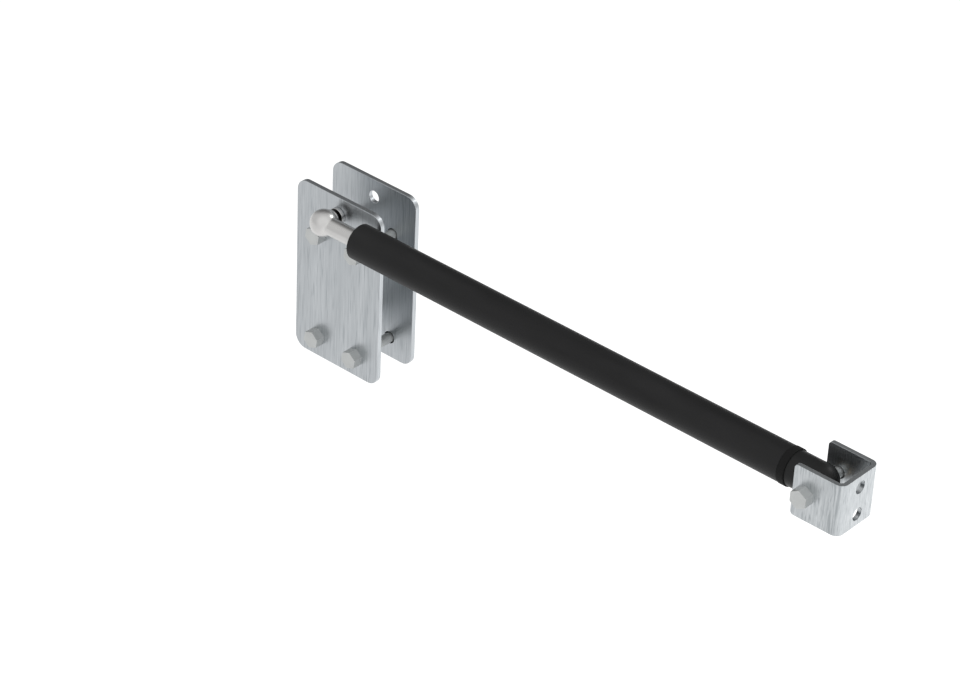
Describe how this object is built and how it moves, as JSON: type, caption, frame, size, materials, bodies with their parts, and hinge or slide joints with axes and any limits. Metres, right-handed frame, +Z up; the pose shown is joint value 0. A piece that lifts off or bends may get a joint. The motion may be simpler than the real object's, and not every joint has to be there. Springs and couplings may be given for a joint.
{
  "type": "gas strut",
  "caption": "Gas strut with a black sleeved body, a ball socket on a clamp mount of two steel plates at one end, and a folded U bracket on a pivot bolt at the other.",
  "frame": {"origin": "centre of the rear plate's free stud hole, on the plate's outer back face", "axes": "+X along the strut towards the U bracket, +Y out of the rear plate's back face, +Z up the plates"},
  "size_m": [0.5387, 0.0966, 0.1555],
  "materials": {
    "brushed_steel": "brushed along Z",
    "zinc_plate": "zinc plated",
    "black_oxide": "blacked and oiled",
    "socket_steel": "satin, zinc plated",
    "spring_steel": "oiled",
    "black_paint": "satin black",
    "hard_chrome": "hard chrome, polished",
    "aluminium": "turned",
    "nitrile_rubber": "matt",
    "ptfe": "matt",
    "bronze": "turned"
  },
  "bodies": {
    "clamp_mount": {"front_plate": "brushed_steel", "rear_plate": "brushed_steel", "clamp_bolts": "zinc_plate", "clamp_washers": "zinc_plate", "clamp_nuts": "zinc_plate", "ball_stud": "black_oxide", "stud_washer": "zinc_plate", "stud_nut": "zinc_plate"},
    "ball_retainer": {"retaining_ring": "spring_steel"},
    "rod_and_sleeve": {"ball_socket": "socket_steel", "sleeve_cap": "black_paint", "guard_sleeve": "black_paint", "wiper_ring": "nitrile_rubber", "piston_rod": "hard_chrome", "stop_washer": "spring_steel", "piston": "aluminium", "piston_nut": "zinc_plate"},
    "loose_ring": {"piston_ring": "ptfe"},
    "cylinder": {"pressure_tube": "black_paint", "rod_wiper": "nitrile_rubber", "rod_guide": "aluminium", "rod_seal": "nitrile_rubber", "seal_washer": "spring_steel", "end_plug": "black_paint", "pivot_bush": "bronze"},
    "bracket": {"u_bracket": "brushed_steel", "pivot_bolt": "zinc_plate", "pivot_washer": "zinc_plate", "pivot_nut": "zinc_plate"}
  },
  "joints": [
    {"name": "ball_lean", "type": "hinge", "parent": "clamp_mount", "child": "ball_retainer", "pos_m": [0, -0.058, 0], "axis": [0, 0, 1], "range_deg": [-15, 2]},
    {"name": "ball_swing", "type": "hinge", "parent": "ball_retainer", "child": "rod_and_sleeve", "pos_m": [0, -0.058, 0], "axis": [0, 1, 0], "range_deg": [-100, 22]},
    {"name": "rod_spin", "type": "hinge", "parent": "rod_and_sleeve", "child": "loose_ring", "pos_m": [0.4, -0.058, 0], "axis": [1, 0, 0], "continuous": true},
    {"name": "gas_slide", "type": "slide", "parent": "loose_ring", "child": "cylinder", "axis": [1, 0, 0], "range_m": [0, 0.32]},
    {"name": "bracket_pivot", "type": "hinge", "parent": "cylinder", "child": "bracket", "pos_m": [0.466, -0.058, 0], "axis": [0, 1, 0], "range_deg": [-110, 110]}
  ]
}
